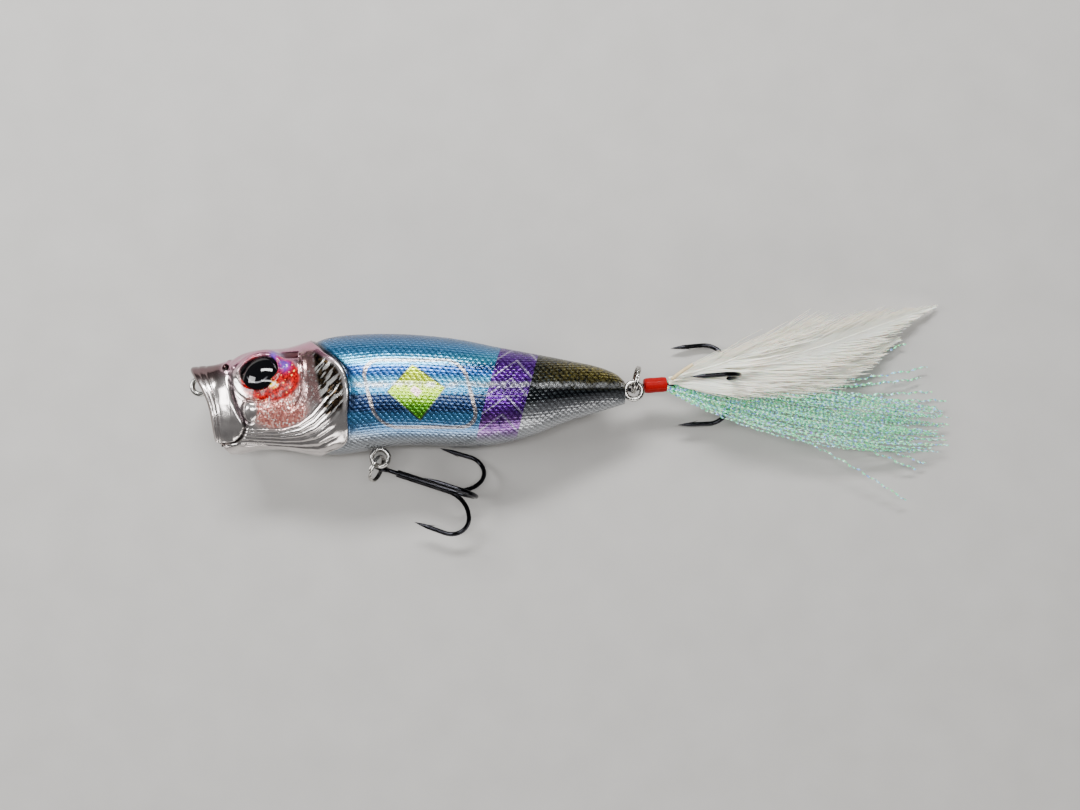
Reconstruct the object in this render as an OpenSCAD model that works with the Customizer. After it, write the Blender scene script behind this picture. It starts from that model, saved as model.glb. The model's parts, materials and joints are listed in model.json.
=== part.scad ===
// Topwater popper: a hollow two-half fishing lure with two treble hooks on split rings.
// It lies on its right flank. +X runs from mouth to tail, +Y from belly to back, +Z out of
// the left flank. Every shape is drawn with the tip of the upper lip near the drawing origin
// and then moved, so that the part's origin is the centre of its box at the table.

/* [Body] */
// Length from the upper lip to the flat end of the tail
body_l = 77.4; // [77:0.1:78]
// Wall thickness of the two half shells
wall = 1.2; // [1:0.1:1.4]
// How far the lower lip sits behind the upper lip
mouth_rake = 5.9; // [5.6:0.1:6.2]
// Depth of the cupped mouth
cup_depth = 4.2; // [4:0.1:4.4]
// Thickness of the lip around the cup
lip_t = 0.9; // [0.8:0.1:1]

/* [Eyes] */
// Radius of the glued-in eye
eye_r = 3.1; // [2.9:0.1:3.2]
// How far the eye's dome stands out of its rim
eye_dome = 1.0; // [0.7:0.1:1.2]

/* [Wire and rings] */
// Wire radius of the line tie and the two hangers
wire_r = 0.45; // [0.4:0.01:0.46]
// Middle radius of the ring of each hanger
hanger_r = 1.5; // [1.45:0.01:1.55]
// Outer diameter of a split ring
split_od = 5.1; // [5:0.05:5.2]
// Width of one turn of a split ring's flattened wire
split_w = 0.4; // [0.36:0.01:0.42]

/* [Treble hooks] */
// Wire radius of a hook
hook_wire_r = 0.42; // [0.38:0.01:0.45]
// Distance from the eye's centre to the far side of the bends
hook_l = 18.4; // [18:0.1:19]
// Distance from the shank's axis to the outside of a bend
hook_spread = 9.0; // [8.8:0.1:9.2]
// Radius of the round part of a bend
bend_r = 3.45; // [3.3:0.05:3.6]
// Middle radius of a hook's eye
hook_eye_r = 1.15; // [1.12:0.01:1.18]

/* [Weights] */
// Radius of the rolling rattle ball
ball_r = 2.5; // [2.3:0.1:2.5]
// Radius of the fixed tail weight
weight_r = 2.7; // [2.5:0.1:2.7]

/* [Hidden] */
$fn = 48;

// The part's origin in drawing coordinates: the centre of its box in X and Y, and the table.
rest_w = 8.82;
part_origin = [69.27, -5.5, -rest_w];

// Body stations: distance from the mouth, top, bottom, half width, and squareness of the section.
stations = [
    [0.5, 3.5, -11.6, 6.2, 2.6], [2.5, 3.75, -11.8, 6.0, 2.5], [4.5, 3.95, -11.95, 5.7, 2.4],
    [7, 4.7, -11.9, 5.9, 2.3], [9.5, 6.1, -11.6, 6.5, 2.3], [12.5, 6.8, -11.1, 7.1, 2.3],
    [17, 7.05, -11.05, 7.8, 2.3], [21.5, 8.1, -11.7, 8.4, 2.3], [25.5, 9.05, -12.05, 8.7, 2.3],
    [30, 9.5, -11.45, 8.8, 2.3], [36, 9.6, -10.35, 8.8, 2.3], [42, 9.3, -10.2, 8.65, 2.3],
    [48, 8.6, -10.4, 8.2, 2.3], [54, 7.4, -10.1, 7.45, 2.25], [61, 6.1, -8.4, 6.2, 2.2],
    [67.5, 4.85, -5.9, 4.7, 2.2], [72.7, 3.75, -4.3, 3.4, 2.1], [76, 2.4, -3.3, 2.5, 2.1],
    [body_l, 1.2, -2.9, 1.9, 2.1]];
last_station = len(stations) - 1;
nose = stations[0][0];
rake_top = stations[0][1];
rake_h = rake_top - stations[0][2];
rake_power = 3.6;
rake_run = 14;
cup_y = -4.0;

// Chambers and what stands in them: a tube for the rattle ball, a cradle for the tail weight, a
// block for the keel weight, and pins with bosses that line up the halves
head_chamber = [11.5, 23.5];
mid_chamber = [24.7, 47.3];
tail_chamber = [48.5, 66];
rattle_y = -3.6;
rattle_bore = ball_r + 0.15;
rattle_wall = 0.65;
weight_x = [49.2, 58.8];
weight_y = -4.4;
weight_wall = 0.7;
weight_gap = 0.02;
tube_end = 0.6;
cradle_end = 1.4;
keel_x = [39.5, 44.5];
keel_y = -8.2;
keel_r = 1.2;
keel_block = [6.8, 2.8, 2.4];
pin_r = 0.9;
pin_hole_r = 0.95;
pin_reach = 1.2;
boss_r = 1.7;
pins = [[19.5, -2.2], [28.5, 4.6], [43.5, 4.2], [57.5, 2.0]];
pin_hole_depth = 0.4;

// Eyes: the centre on the left flank, and the turn of the eye's axis away from +Z
eye_at = [14.4, 2.5, 6.67];
eye_turn = [-21.4, -8, 0];
eye_depth = 1.3;
eye_gap = 0.05;
foil_t = 0.3;
seat_rim = 0.9;
eye_span = [9, 22];
eye_inset = 0.4;

// Hangers: ring centres in drawing coordinates
tie_at = [1.45, 0.3, 0];
tie_r = 1.4;
tie_loop_x = 13.7;
belly_at = [33.7, -12.5, 0];
belly_feet_y = -8.35;
foot_l = 2.2;
seat_block = [7.2, 2.55, 2.4];
seat_under = 1.55;
tail_at = [79.04, -0.5, 0];
tail_loop_x = 64.4;
wire_gap = 0.04;
post_r = 0.85;
tie_post_h = 6;
tail_post_h = 4.4;

// Split rings: radius of the wire's middle, how far its wire sits off the hanger's centre,
// the direction it points in about +Z, its turn about that direction, and where the hook's
// eye sits on it, as an angle from the hanger.
split_r = split_od / 2 - split_w / 2;
split_off = 0.35;
belly_ring = [-108.2, 12, 90];
tail_ring = [78, 0, 60];

// Hooks: turn about +Z, dip of the shank, roll of the bends, roll of the eye
belly_hook = [-18.2, 1.2, -12, 0];
tail_hook = [4, 3.6, -6, -30.5];
sweep_a = 75;
limb_z = 0.3;
shank_r = limb_z + hook_wire_r + 0.02;
round_x = hook_l - hook_wire_r - bend_r;
round_z = hook_spread - hook_wire_r - bend_r;
sweep_r = (round_z - bend_r * cos(sweep_a) - limb_z) / (1 - cos(sweep_a));
sweep_x = round_x + (bend_r - sweep_r) * sin(sweep_a);
shank_end = sweep_x + 1.2;
leg = 3.4;
point = 2.5;
lean = 2;
lap = 0.15;
lap_a = 2.5;
step = 0.02;

// --- the lofted body ---

function bracket(x, i = 0) =
    i >= last_station - 1 || x < stations[i + 1][0] ? i : bracket(x, i + 1);
function slope(k, i) =
    let (a = max(i - 1, 0), b = min(i + 1, last_station))
    (stations[b][k] - stations[a][k]) / (stations[b][0] - stations[a][0]);
// Column k of the stations at x, on a smooth cubic through every station.
function at(x, k) =
    let (i = bracket(x), p = stations[i], q = stations[i + 1], d = q[0] - p[0], t = (x - p[0]) / d)
    p[k] * (1 + 2 * t) * pow(1 - t, 2) + slope(k, i) * d * t * pow(1 - t, 2)
    + q[k] * t * t * (3 - 2 * t) - slope(k, i + 1) * d * t * t * (1 - t);
// How far back the mouth's slant moves a point at height y that is x from the upper lip.
function slant(x, y) =
    mouth_rake * (1 - pow(1 - min(max((rake_top - y) / rake_h, 0), 1), rake_power))
    * pow(max(1 - (x - nose) / rake_run, 0), 2);
// A signed power, for the superellipse sections.
function spow(v, p) = sign(v) * pow(abs(v), p);
// One point of the section at x: angle f from -90 (belly) to 90 (back) on the left flank.
function body_point(x, f, inset = 0) =
    let (top = at(x, 1) - inset, bottom = at(x, 2) + inset, e = 2 / at(x, 4),
        y = (top + bottom) / 2 + (top - bottom) / 2 * spow(sin(f), e))
    [x + slant(x, y), y, (at(x, 3) - inset) * spow(cos(f), e)];
function half_ring(x, inset, steps) =
    [for (j = [0 : steps]) body_point(x, -90 + 180 * j / steps, inset)];

function mean_of(pair) = (pair[0] + pair[1]) / 2;
function mean(points) = [for (k = [0 : 2]) [for (p = points) p[k]] * [for (p = points) 1] / len(points)];

// A closed solid through rings of points, each with the same count, with a fan over each end.
module skin(rings) {
    n = len(rings[0]);
    m = len(rings);
    sides = [for (i = [0 : m - 2], j = [0 : n - 1])
        let (a = i * n + j, b = i * n + (j + 1) % n)
        each [[a, b, b + n], [a, b + n, a + n]]];
    first = [for (j = [0 : n - 1]) [n * m, (j + 1) % n, j]];
    last = [for (j = [0 : n - 1]) [n * m + 1, (m - 1) * n + j, (m - 1) * n + (j + 1) % n]];
    polyhedron(concat([for (r = rings) each r], [mean(rings[0]), mean(rings[m - 1])]),
        concat(sides, first, last));
}

// The left half of the loft between two distances from the mouth, set in by inset.
module half_loft(span, inset, cuts, steps) {
    skin([for (i = [0 : cuts])
        half_ring(span[0] + (span[1] - span[0]) * i / cuts, inset, steps)]);
}

// The mouth's cup: the front section, narrowing as it goes back.
module cup() {
    steps = 24;
    depths = [-3, 0, 0.35, 0.7, 0.9, 1];
    skin([for (q = depths)
        let (shrink = 1 - 0.52 * pow(max(q, 0), 2.2), back = q * cup_depth)
        [for (j = [0 : steps - 1])
            let (f = 360 * j / steps, e = 2 / stations[0][4],
                half_h = rake_h / 2 - lip_t - 0.9, half_w = stations[0][3] - lip_t,
                y = cup_y + 0.35 + shrink * half_h * spow(sin(f), e))
            [nose + back + slant(nose, y), y, shrink * half_w * spow(cos(f), e)]]]);
}

// Moves what stands along +X at (x, y) to run from x1 to x2.
module along_x(x1, x2, y, r) {
    translate([x1, y, 0]) rotate([0, 90, 0]) cylinder(r = r, h = x2 - x1);
}

module torus(middle_r, r) {
    rotate_extrude() translate([middle_r, 0]) circle(r);
}

module eye_frame(side) {
    mirror([0, 0, side < 0 ? 1 : 0]) translate(eye_at) rotate(eye_turn) children();
}

// Half width of the body at x and height y.
function half_width(x, y) =
    let (top = at(x, 1), bottom = at(x, 2), n = at(x, 4), v = abs(2 * y - top - bottom) / (top - bottom))
    at(x, 3) * pow(1 - pow(v, n), 1 / n);

// A boss that stands on the inside of the wall and meets the other half's boss.
module pin_boss(at_xy) {
    outer = at_xy[1] + sign(at_xy[1]) * boss_r;
    reach = half_width(at_xy[0], outer) - wall / 2;
    translate([at_xy[0], at_xy[1], 0]) cylinder(r = boss_r, h = reach);
}

// Room for two parallel wires that run from x1 to x2 at height y.
module wire_pair_room(x1, x2, y) {
    r = wire_r + wire_gap;
    for (s = [-1, 1]) along_x(x1, x2, y + s * wire_r, r);
    translate([x1, y - wire_r, -r]) cube([x2 - x1, 2 * wire_r, 2 * r]);
}

module belly_hanger_room() {
    r = wire_r + wire_gap;
    translate([belly_at[0] - 2 * wire_r, belly_at[1], -r])
        cube([4 * wire_r, belly_feet_y - belly_at[1] + r, 2 * r]);
    reach = foot_l + 0.7;
    along_x(belly_at[0] - reach, belly_at[0] + reach, belly_feet_y, r);
}

// What both halves have: the wall, bulkheads, rattle tube, weight cradle, bosses and seats.
module half_shell(pins_out) {
    difference() {
        union() {
            difference() {
                half_loft([nose, body_l], 0, 44, 14);
                half_loft(head_chamber, wall, 6, 10);
                half_loft(mid_chamber, wall, 8, 10);
                half_loft(tail_chamber, wall, 6, 10);
            }
            along_x(mid_chamber[0] - tube_end, mid_chamber[1] + tube_end, rattle_y,
                rattle_bore + rattle_wall);
            along_x(tail_chamber[0] - tube_end, weight_x[1] + cradle_end, weight_y,
                weight_r + weight_wall);
            translate([belly_at[0] - seat_block[0] / 2, belly_feet_y - seat_under, 0])
                cube(seat_block);
            translate([tie_loop_x, tie_at[1], 0]) cylinder(r = post_r, h = tie_post_h);
            translate([tail_loop_x, tail_at[1], 0]) cylinder(r = post_r, h = tail_post_h);
            translate([mean_of(keel_x) - keel_block[0] / 2, keel_y - keel_r, 0]) cube(keel_block);
            for (p = pins) pin_boss(p);
            intersection() {
                eye_frame(1) translate([0, 0, -eye_depth - 1])
                    cylinder(r = eye_r + seat_rim, h = eye_depth + 0.4);
                half_loft(eye_span, eye_inset, 6, 12);
            }
        }
        along_x(mid_chamber[0], mid_chamber[1], rattle_y, rattle_bore);
        along_x(weight_x[0], weight_x[1], weight_y, weight_r + weight_gap);
        wire_pair_room(tie_at[0] + 0.55, tie_loop_x - 1, tie_at[1]);
        wire_pair_room(tail_loop_x + 1, body_l + 1, tail_at[1]);
        belly_hanger_room();
        along_x(keel_x[0] - 0.1, keel_x[1] + 0.1, keel_y, keel_r + weight_gap);
        cup();
        eye_frame(1) translate([0, 0, -eye_depth]) cylinder(r = eye_r + eye_gap, h = 6);
        if (!pins_out) for (p = pins)
            translate([p[0], p[1], -1]) cylinder(r = pin_hole_r, h = pin_reach + pin_hole_depth + 1);
        translate([-5, -20, -20]) cube([100, 40, 20]);
    }
    if (pins_out) for (p = pins)
        translate([p[0], p[1], -pin_reach]) cylinder(r = pin_r, h = pin_reach + 0.5);
}

module body_left() {
    color("steelblue") half_shell(true);
}

module body_right() {
    color("lightsteelblue") mirror([0, 0, 1]) half_shell(false);
}

// --- eyes ---

module eye_lens(side) {
    dome_r = (pow(eye_r, 2) + pow(eye_dome, 2)) / (2 * eye_dome);
    color("black") eye_frame(side) intersection() {
        translate([0, 0, foil_t - eye_depth]) cylinder(r = eye_r, h = eye_depth + 3);
        translate([0, 0, eye_dome - dome_r]) sphere(dome_r);
    }
}

module eye_foil(side) {
    color("red") eye_frame(side) translate([0, 0, -eye_depth]) cylinder(r = eye_r, h = foil_t);
}

// --- line tie and hangers ---

module wire_pair(x1, x2, y) {
    for (s = [-1, 1]) along_x(x1, x2, y + s * wire_r * 0.98, wire_r);
}

module line_tie() {
    color("silver") {
        translate(tie_at) torus(tie_r, wire_r);
        wire_pair(tie_at[0] + 1.25, tie_loop_x - 1.25, tie_at[1]);
        translate([tie_loop_x, tie_at[1], 0]) torus(tie_r, wire_r);
    }
}

module tail_hanger() {
    color("silver") {
        translate(tail_at) torus(hanger_r, wire_r);
        wire_pair(tail_loop_x + 1.3, tail_at[0] - 1.35, tail_at[1]);
        translate([tail_loop_x, tail_at[1], 0]) torus(tie_r, wire_r);
    }
}

// An omega of wire: a ring below, two legs through the wall, and a foot out to each side.
module belly_hanger() {
    leg_x = wire_r * 0.98;
    leg_y = belly_at[1] + sqrt(pow(hanger_r, 2) - pow(leg_x, 2));
    color("silver") {
        translate(belly_at) torus(hanger_r, wire_r);
        for (s = [-1, 1]) {
            translate([belly_at[0] + s * leg_x, leg_y, 0]) rotate([-90, 0, 0])
                cylinder(r = wire_r, h = belly_feet_y - leg_y);
            translate([belly_at[0] + s * leg_x, belly_feet_y, 0]) {
                sphere(wire_r);
                rotate([0, s * 90, 0]) cylinder(r = wire_r, h = foot_l);
            }
        }
    }
}

// --- split rings ---

// Puts a split ring's frame at a hanger: local -X points at the hanger, the ring's axis is local Y.
module ring_frame(hanger, ring) {
    translate(hanger) rotate([0, 0, ring[0]]) rotate([ring[1], 0, 0])
        translate([split_r - split_off, 0, 0]) children();
}

// Two touching turns of flattened wire.
module split_ring() {
    rotate([90, 0, 0]) rotate_extrude() translate([split_r, 0])
        for (s = [-1, 1]) translate([0, s * split_w * 0.48]) circle(split_w / 2);
}

module belly_split_ring() {
    color("gainsboro") ring_frame(belly_at, belly_ring) split_ring();
}

module tail_split_ring() {
    color("gainsboro") ring_frame(tail_at, tail_ring) split_ring();
}

// --- treble hooks ---

function turn_z(v, a) = [v[0] * cos(a) - v[1] * sin(a), v[0] * sin(a) + v[1] * cos(a), v[2]];
// Where a hook's eye is centred: on its split ring, below the ring's middle.
function eye_centre(hanger, ring) =
    let (along = split_r - split_off - split_r * cos(ring[2]), under = split_r * sin(ring[2]))
    hanger + turn_z([along, under * sin(ring[1]), -under * cos(ring[1])], ring[0]);

module hook_frame(hanger, ring, hook) {
    translate(eye_centre(hanger, ring)) rotate([0, hook[1], hook[0]]) children();
}

// One of the three bends, in the XZ plane with the shank along +X and the bend out along +Z.
// Each piece starts a little inside the one before it and is a shade thinner.
module limb() {
    r = hook_wire_r;
    translate([sweep_x, 0, limb_z + sweep_r]) rotate([90, 0, 0]) rotate([0, 0, -90])
        rotate_extrude(angle = sweep_a) translate([sweep_r, 0]) circle(r);
    translate([round_x, 0, round_z]) rotate([90, 0, 0]) rotate([0, 0, sweep_a - 90 - lap_a])
        rotate_extrude(angle = 180 - sweep_a + lean + lap_a) translate([bend_r, 0]) circle(r - step);
    translate([round_x - bend_r * sin(lean), 0, round_z + bend_r * cos(lean)]) rotate([0, -90 - lean, 0]) {
        translate([0, 0, -lap]) cylinder(r = r - 2 * step, h = leg + lap);
        translate([0, 0, leg - lap]) cylinder(r1 = r - 3 * step, r2 = 0.05, h = point);
        translate([-r / 2, 0, leg - 1.6]) rotate([0, -16, 0]) cylinder(r1 = 0.06, r2 = 0.26, h = 1.3);
    }
}

module treble(hook) {
    for (k = [0 : 2]) rotate([hook[2] + 120 * k, 0, 0]) limb();
    shank_x = hook_eye_r + 0.2;
    translate([shank_x, 0, 0]) rotate([0, 90, 0]) cylinder(r = shank_r, h = shank_end - shank_x);
    rotate([hook[3], 0, 0]) rotate([90, 0, 0]) torus(hook_eye_r, hook_wire_r * 0.95);
}

module belly_treble() {
    color("black") hook_frame(belly_at, belly_ring, belly_hook) treble(belly_hook);
}

module tail_treble() {
    color("black") hook_frame(tail_at, tail_ring, tail_hook) treble(tail_hook);
}

// --- dressing on the tail hook ---

whip = [1.95, 6.15];
whip_bore = shank_r + 0.03;

module tail_whipping() {
    half = (whip[1] - whip[0]) / 2;
    color("red") hook_frame(tail_at, tail_ring, tail_hook) translate([whip[0], 0, 0]) rotate([0, 90, 0])
        difference() {
            union() {
                cylinder(r1 = 1.22, r2 = 1.38, h = half);
                translate([0, 0, half]) cylinder(r1 = 1.38, r2 = 1.3, h = half);
            }
            translate([0, 0, -1]) cylinder(r = whip_bore, h = 2 * half + 2);
        }
}

// A quadratic curve through a start, a control point and an end.
function curve(a, b, c, t) = a * pow(1 - t, 2) + b * 2 * t * (1 - t) + c * t * t;

// The curve's direction at t.
function heading(a, b, c, t) = (b - a) * (1 - t) + (c - b) * t;

// A flat blade along a curve, level across: it widens to max_w each side, later if late is
// larger, and thins to its tip.
module blade(a, b, c, max_w, thick, late) {
    steps = 10;
    around = 10;
    root_w = 0.35;
    skin([for (i = [0 : steps])
        let (t = i / steps, p = curve(a, b, c, t), d = heading(a, b, c, t),
            side = [-d[1], d[0], 0] / norm([d[0], d[1]]),
            w = root_w + max_w * pow(sin(180 * pow(t, late)), 0.8) * (1 - 0.2 * t))
        [for (j = [0 : around - 1])
            let (f = 360 * j / around)
            p + side * w * cos(f) + [0, 0, thick * (1 - 0.6 * t) * sin(f)]]]);
}

module hackle_main() {
    color("ivory") blade([85.7, 2.25, -2.3], [102, 6, 0.9], [135.6, 15, -7.9], 3.4, 0.3, 1.6);
}

module hackle_upper() {
    color("ivory") blade([85.7, 1.9, -1.1], [98, 8.2, 3.6], [123, 13.6, -3.8], 2.3, 0.3, 1.3);
}

module hackle_lower() {
    color("ivory") blade([85.7, 0.85, -3.95], [100, 2.4, -5.2], [124, 4.4, -7.9], 1.6, 0.25, 1.8);
}

module tinsel_flash() {
    color("aquamarine") blade([85.7, -0.8, -2.3], [100, -4.2, 0.8], [138.9, -9.4, -7.6], 4.8, 0.5, 2);
}

// --- weights ---

module tail_weight() {
    color("dimgray") along_x(weight_x[0] + 0.05, weight_x[1] - 0.05, weight_y, weight_r);
}

module keel_weight() {
    color("dimgray") along_x(keel_x[0], keel_x[1], keel_y, keel_r);
}

module rattle_ball() {
    color("gray") translate([mid_chamber[0] + ball_r + 0.05, rattle_y, 0]) sphere(ball_r);
}

module place() {
    translate(-part_origin) children();
}

place() {
    body_left();
    body_right();
    eye_lens(1);  // left_eye_lens
    eye_lens(-1);  // right_eye_lens
    eye_foil(1);  // left_eye_foil
    eye_foil(-1);  // right_eye_foil
    line_tie();
    belly_hanger();
    tail_hanger();
    belly_split_ring();
    tail_split_ring();
    belly_treble();
    tail_treble();
    tail_whipping();
    hackle_main();
    hackle_upper();
    hackle_lower();
    tinsel_flash();
    tail_weight();
    keel_weight();
    rattle_ball();
}
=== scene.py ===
"""Looks of the topwater popper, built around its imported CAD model.

Shapes are worked out in millimetres in the drawing's own frame, with the upper lip near the
origin, +X to the tail, +Y to the back and +Z out of the left flank. place() takes them to the row frame.
"""
import json
import math

import bpy
import numpy as np
from mathutils import Matrix, Vector


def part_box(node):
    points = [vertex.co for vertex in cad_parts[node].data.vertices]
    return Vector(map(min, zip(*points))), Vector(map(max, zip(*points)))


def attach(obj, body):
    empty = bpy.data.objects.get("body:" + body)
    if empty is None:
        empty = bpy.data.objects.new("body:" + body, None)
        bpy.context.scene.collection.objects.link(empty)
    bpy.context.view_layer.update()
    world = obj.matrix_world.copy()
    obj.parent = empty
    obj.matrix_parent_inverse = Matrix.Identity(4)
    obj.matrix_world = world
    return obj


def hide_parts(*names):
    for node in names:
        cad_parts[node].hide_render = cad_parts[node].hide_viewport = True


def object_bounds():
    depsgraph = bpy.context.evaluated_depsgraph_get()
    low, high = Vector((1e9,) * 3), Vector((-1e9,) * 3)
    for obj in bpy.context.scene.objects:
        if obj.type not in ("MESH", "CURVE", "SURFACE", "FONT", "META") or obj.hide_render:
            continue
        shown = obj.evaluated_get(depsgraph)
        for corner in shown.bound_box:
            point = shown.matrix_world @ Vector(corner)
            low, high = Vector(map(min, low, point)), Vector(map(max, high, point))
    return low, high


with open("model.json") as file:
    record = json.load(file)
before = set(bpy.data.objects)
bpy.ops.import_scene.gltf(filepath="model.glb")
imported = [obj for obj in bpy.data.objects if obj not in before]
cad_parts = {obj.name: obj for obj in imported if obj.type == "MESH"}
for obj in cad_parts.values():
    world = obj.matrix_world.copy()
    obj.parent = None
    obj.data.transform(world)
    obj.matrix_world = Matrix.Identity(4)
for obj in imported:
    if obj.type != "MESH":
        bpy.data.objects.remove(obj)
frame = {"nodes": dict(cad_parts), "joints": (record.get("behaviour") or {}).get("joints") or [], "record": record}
CAD_BOX = [list(corner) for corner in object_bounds()]
MM = 0.001
random = np.random.default_rng(7)

# The line tie's ring centre in the drawing, which the record gives in the row frame.
TIE = np.array([1.45, 0.3, 0.0])
TIE_MOUNT = next(m for m in frame["record"]["mounts"] if m["name"] == "line_tie_eye")
SHIFT = np.array(TIE_MOUNT["pos_m"]) / MM - TIE
FLOOR_Z = -SHIFT[2]
JOINTS = {joint["name"]: joint for joint in frame["joints"]}


# --- small maths ---

def place(points):
    """Drawing millimetres to row metres."""
    return (np.asarray(points, float) + SHIFT) * MM


def ease(low, high, value):
    """0 below low, 1 above high, smooth between. low may be the larger."""
    t = np.clip((value - low) / (high - low), 0, 1)
    return t * t * (3 - 2 * t)


def bump(value, width):
    """1 at 0, falling away over width."""
    return np.exp(-(value / width) ** 2)


def spow(value, power):
    """A power that keeps the sign."""
    return np.sign(value) * np.abs(value) ** power


def through(points, count):
    """count points along a smooth curve through the given points."""
    p = np.asarray(points, float)
    p = np.vstack([2 * p[0] - p[1], p, 2 * p[-1] - p[-2]])
    t = np.linspace(0, len(p) - 3, count)
    i = np.minimum(t.astype(int), len(p) - 4)
    f = (t - i)[:, None]
    a, b, c, d = p[i], p[i + 1], p[i + 2], p[i + 3]
    return 0.5 * (2 * b + (c - a) * f + (2 * a - 5 * b + 4 * c - d) * f**2 + (3 * b - a - 3 * c + d) * f**3)


def line_distance(x, y, points, count=60):
    """From each (x, y) to a smooth line: distance, side (+ is right of travel), and how far along, 0 to 1."""
    line = through(points, count)
    a, d = line[:-1], np.diff(line, axis=0)
    best = np.full(x.shape, 1e9)
    side, along = np.zeros(x.shape), np.zeros(x.shape)
    for k, (start, step) in enumerate(zip(a, d)):
        dx, dy = x - start[0], y - start[1]
        t = np.clip((dx * step[0] + dy * step[1]) / (step @ step), 0, 1)
        gap = np.hypot(dx - t * step[0], dy - t * step[1])
        near = gap < best
        best = np.where(near, gap, best)
        side = np.where(near, np.sign(dx * step[1] - dy * step[0]), side)
        along = np.where(near, (k + t) / len(a), along)
    return best, side, along


def rotation(axis, degrees):
    return np.array(Matrix.Rotation(math.radians(degrees), 3, axis))


# --- meshes ---

def add_object(name, data):
    made = bpy.data.objects.new(name, data)
    bpy.context.scene.collection.objects.link(made)
    return made


def make_mesh(name, points, faces, body, material, values=None, flat_faces=0, replaced=()):
    """A smooth-shaded piece from drawing-frame points. values are named numbers, one per point."""
    mesh = bpy.data.meshes.new(name)
    mesh.from_pydata(place(points).tolist(), [], faces if isinstance(faces, list) else faces.tolist())
    mesh.update()
    smooth = np.ones(len(mesh.polygons), bool)
    if flat_faces:
        smooth[-flat_faces:] = False
    mesh.polygons.foreach_set("use_smooth", smooth)
    for key, numbers in (values or {}).items():
        attribute = mesh.attributes.new(key, "FLOAT", "POINT")
        attribute.data.foreach_set("value", np.asarray(numbers, np.float32).ravel())
    mesh.materials.append(material)
    piece = add_object(name, mesh)
    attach(piece, body)
    if replaced:
        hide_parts(*replaced)
    return piece


def grid_faces(rows, columns, around=False):
    """Quads of a grid of points, joined round its columns if around."""
    i, j = np.meshgrid(np.arange(rows - 1), np.arange(columns if around else columns - 1), indexing="ij")
    k = (j + 1) % columns
    a, b = i * columns + j, i * columns + k
    return np.stack([a, b, b + columns, a + columns], -1).reshape(-1, 4)


def closed_faces(rows, sides):
    """Faces of a grid joined round its columns, with a fan to one point more at each end."""
    n, j = rows * sides, np.arange(sides)
    first = np.stack([np.full(sides, n), (j + 1) % sides, j], 1)
    last = np.stack([np.full(sides, n + 1), n - sides + j, n - sides + (j + 1) % sides], 1)
    return grid_faces(rows, sides, around=True).tolist() + first.tolist() + last.tolist()


def headings(path):
    """The unit vector along the path at each of its points."""
    heading = np.gradient(path, axis=0)
    return heading / np.linalg.norm(heading, axis=1)[:, None]


def frames_along(path):
    """Two unit vectors across the path at each of its points, carried along without twist."""
    heading = headings(path)
    first = np.cross(heading[0], [0.0, 0.0, 1.0])
    if np.linalg.norm(first) < 0.2:
        first = np.cross(heading[0], [0.0, 1.0, 0.0])
    across = [first / np.linalg.norm(first)]
    for h in heading[1:]:
        v = across[-1] - h * (across[-1] @ h)
        across.append(v / np.linalg.norm(v))
    across = np.array(across)
    return across, np.cross(heading, across)


def tube(path, radii, sides=14, wide=1.0):
    """Points and faces of a closed tube. wide stretches it along its first cross direction."""
    path = np.asarray(path, float)
    radii = np.broadcast_to(radii, len(path))
    across, up = frames_along(path)
    f = np.linspace(0, 2 * math.pi, sides, endpoint=False)
    ring = across[:, None] * np.cos(f)[:, None] * wide + up[:, None] * np.sin(f)[:, None]
    points = (path[:, None] + ring * radii[:, None, None]).reshape(-1, 3)
    return np.vstack([points, path[:1], path[-1:]]), closed_faces(len(path), sides)


def join(parts):
    """One list of points and faces from several."""
    points, faces, start = [], [], 0
    for p, f in parts:
        points.append(p)
        faces += [[v + start for v in face] for face in f]
        start += len(p)
    return np.vstack(points), faces


# --- shaders ---

def srgb(red, green, blue):
    """A colour given as it looks on a screen, 0 to 255, as the linear one a shader takes."""
    c = np.array([red, green, blue]) / 255
    linear = np.where(c <= 0.04045, c / 12.92, ((c + 0.055) / 1.055) ** 2.4)
    return (*linear.tolist(), 1.0)


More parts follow.
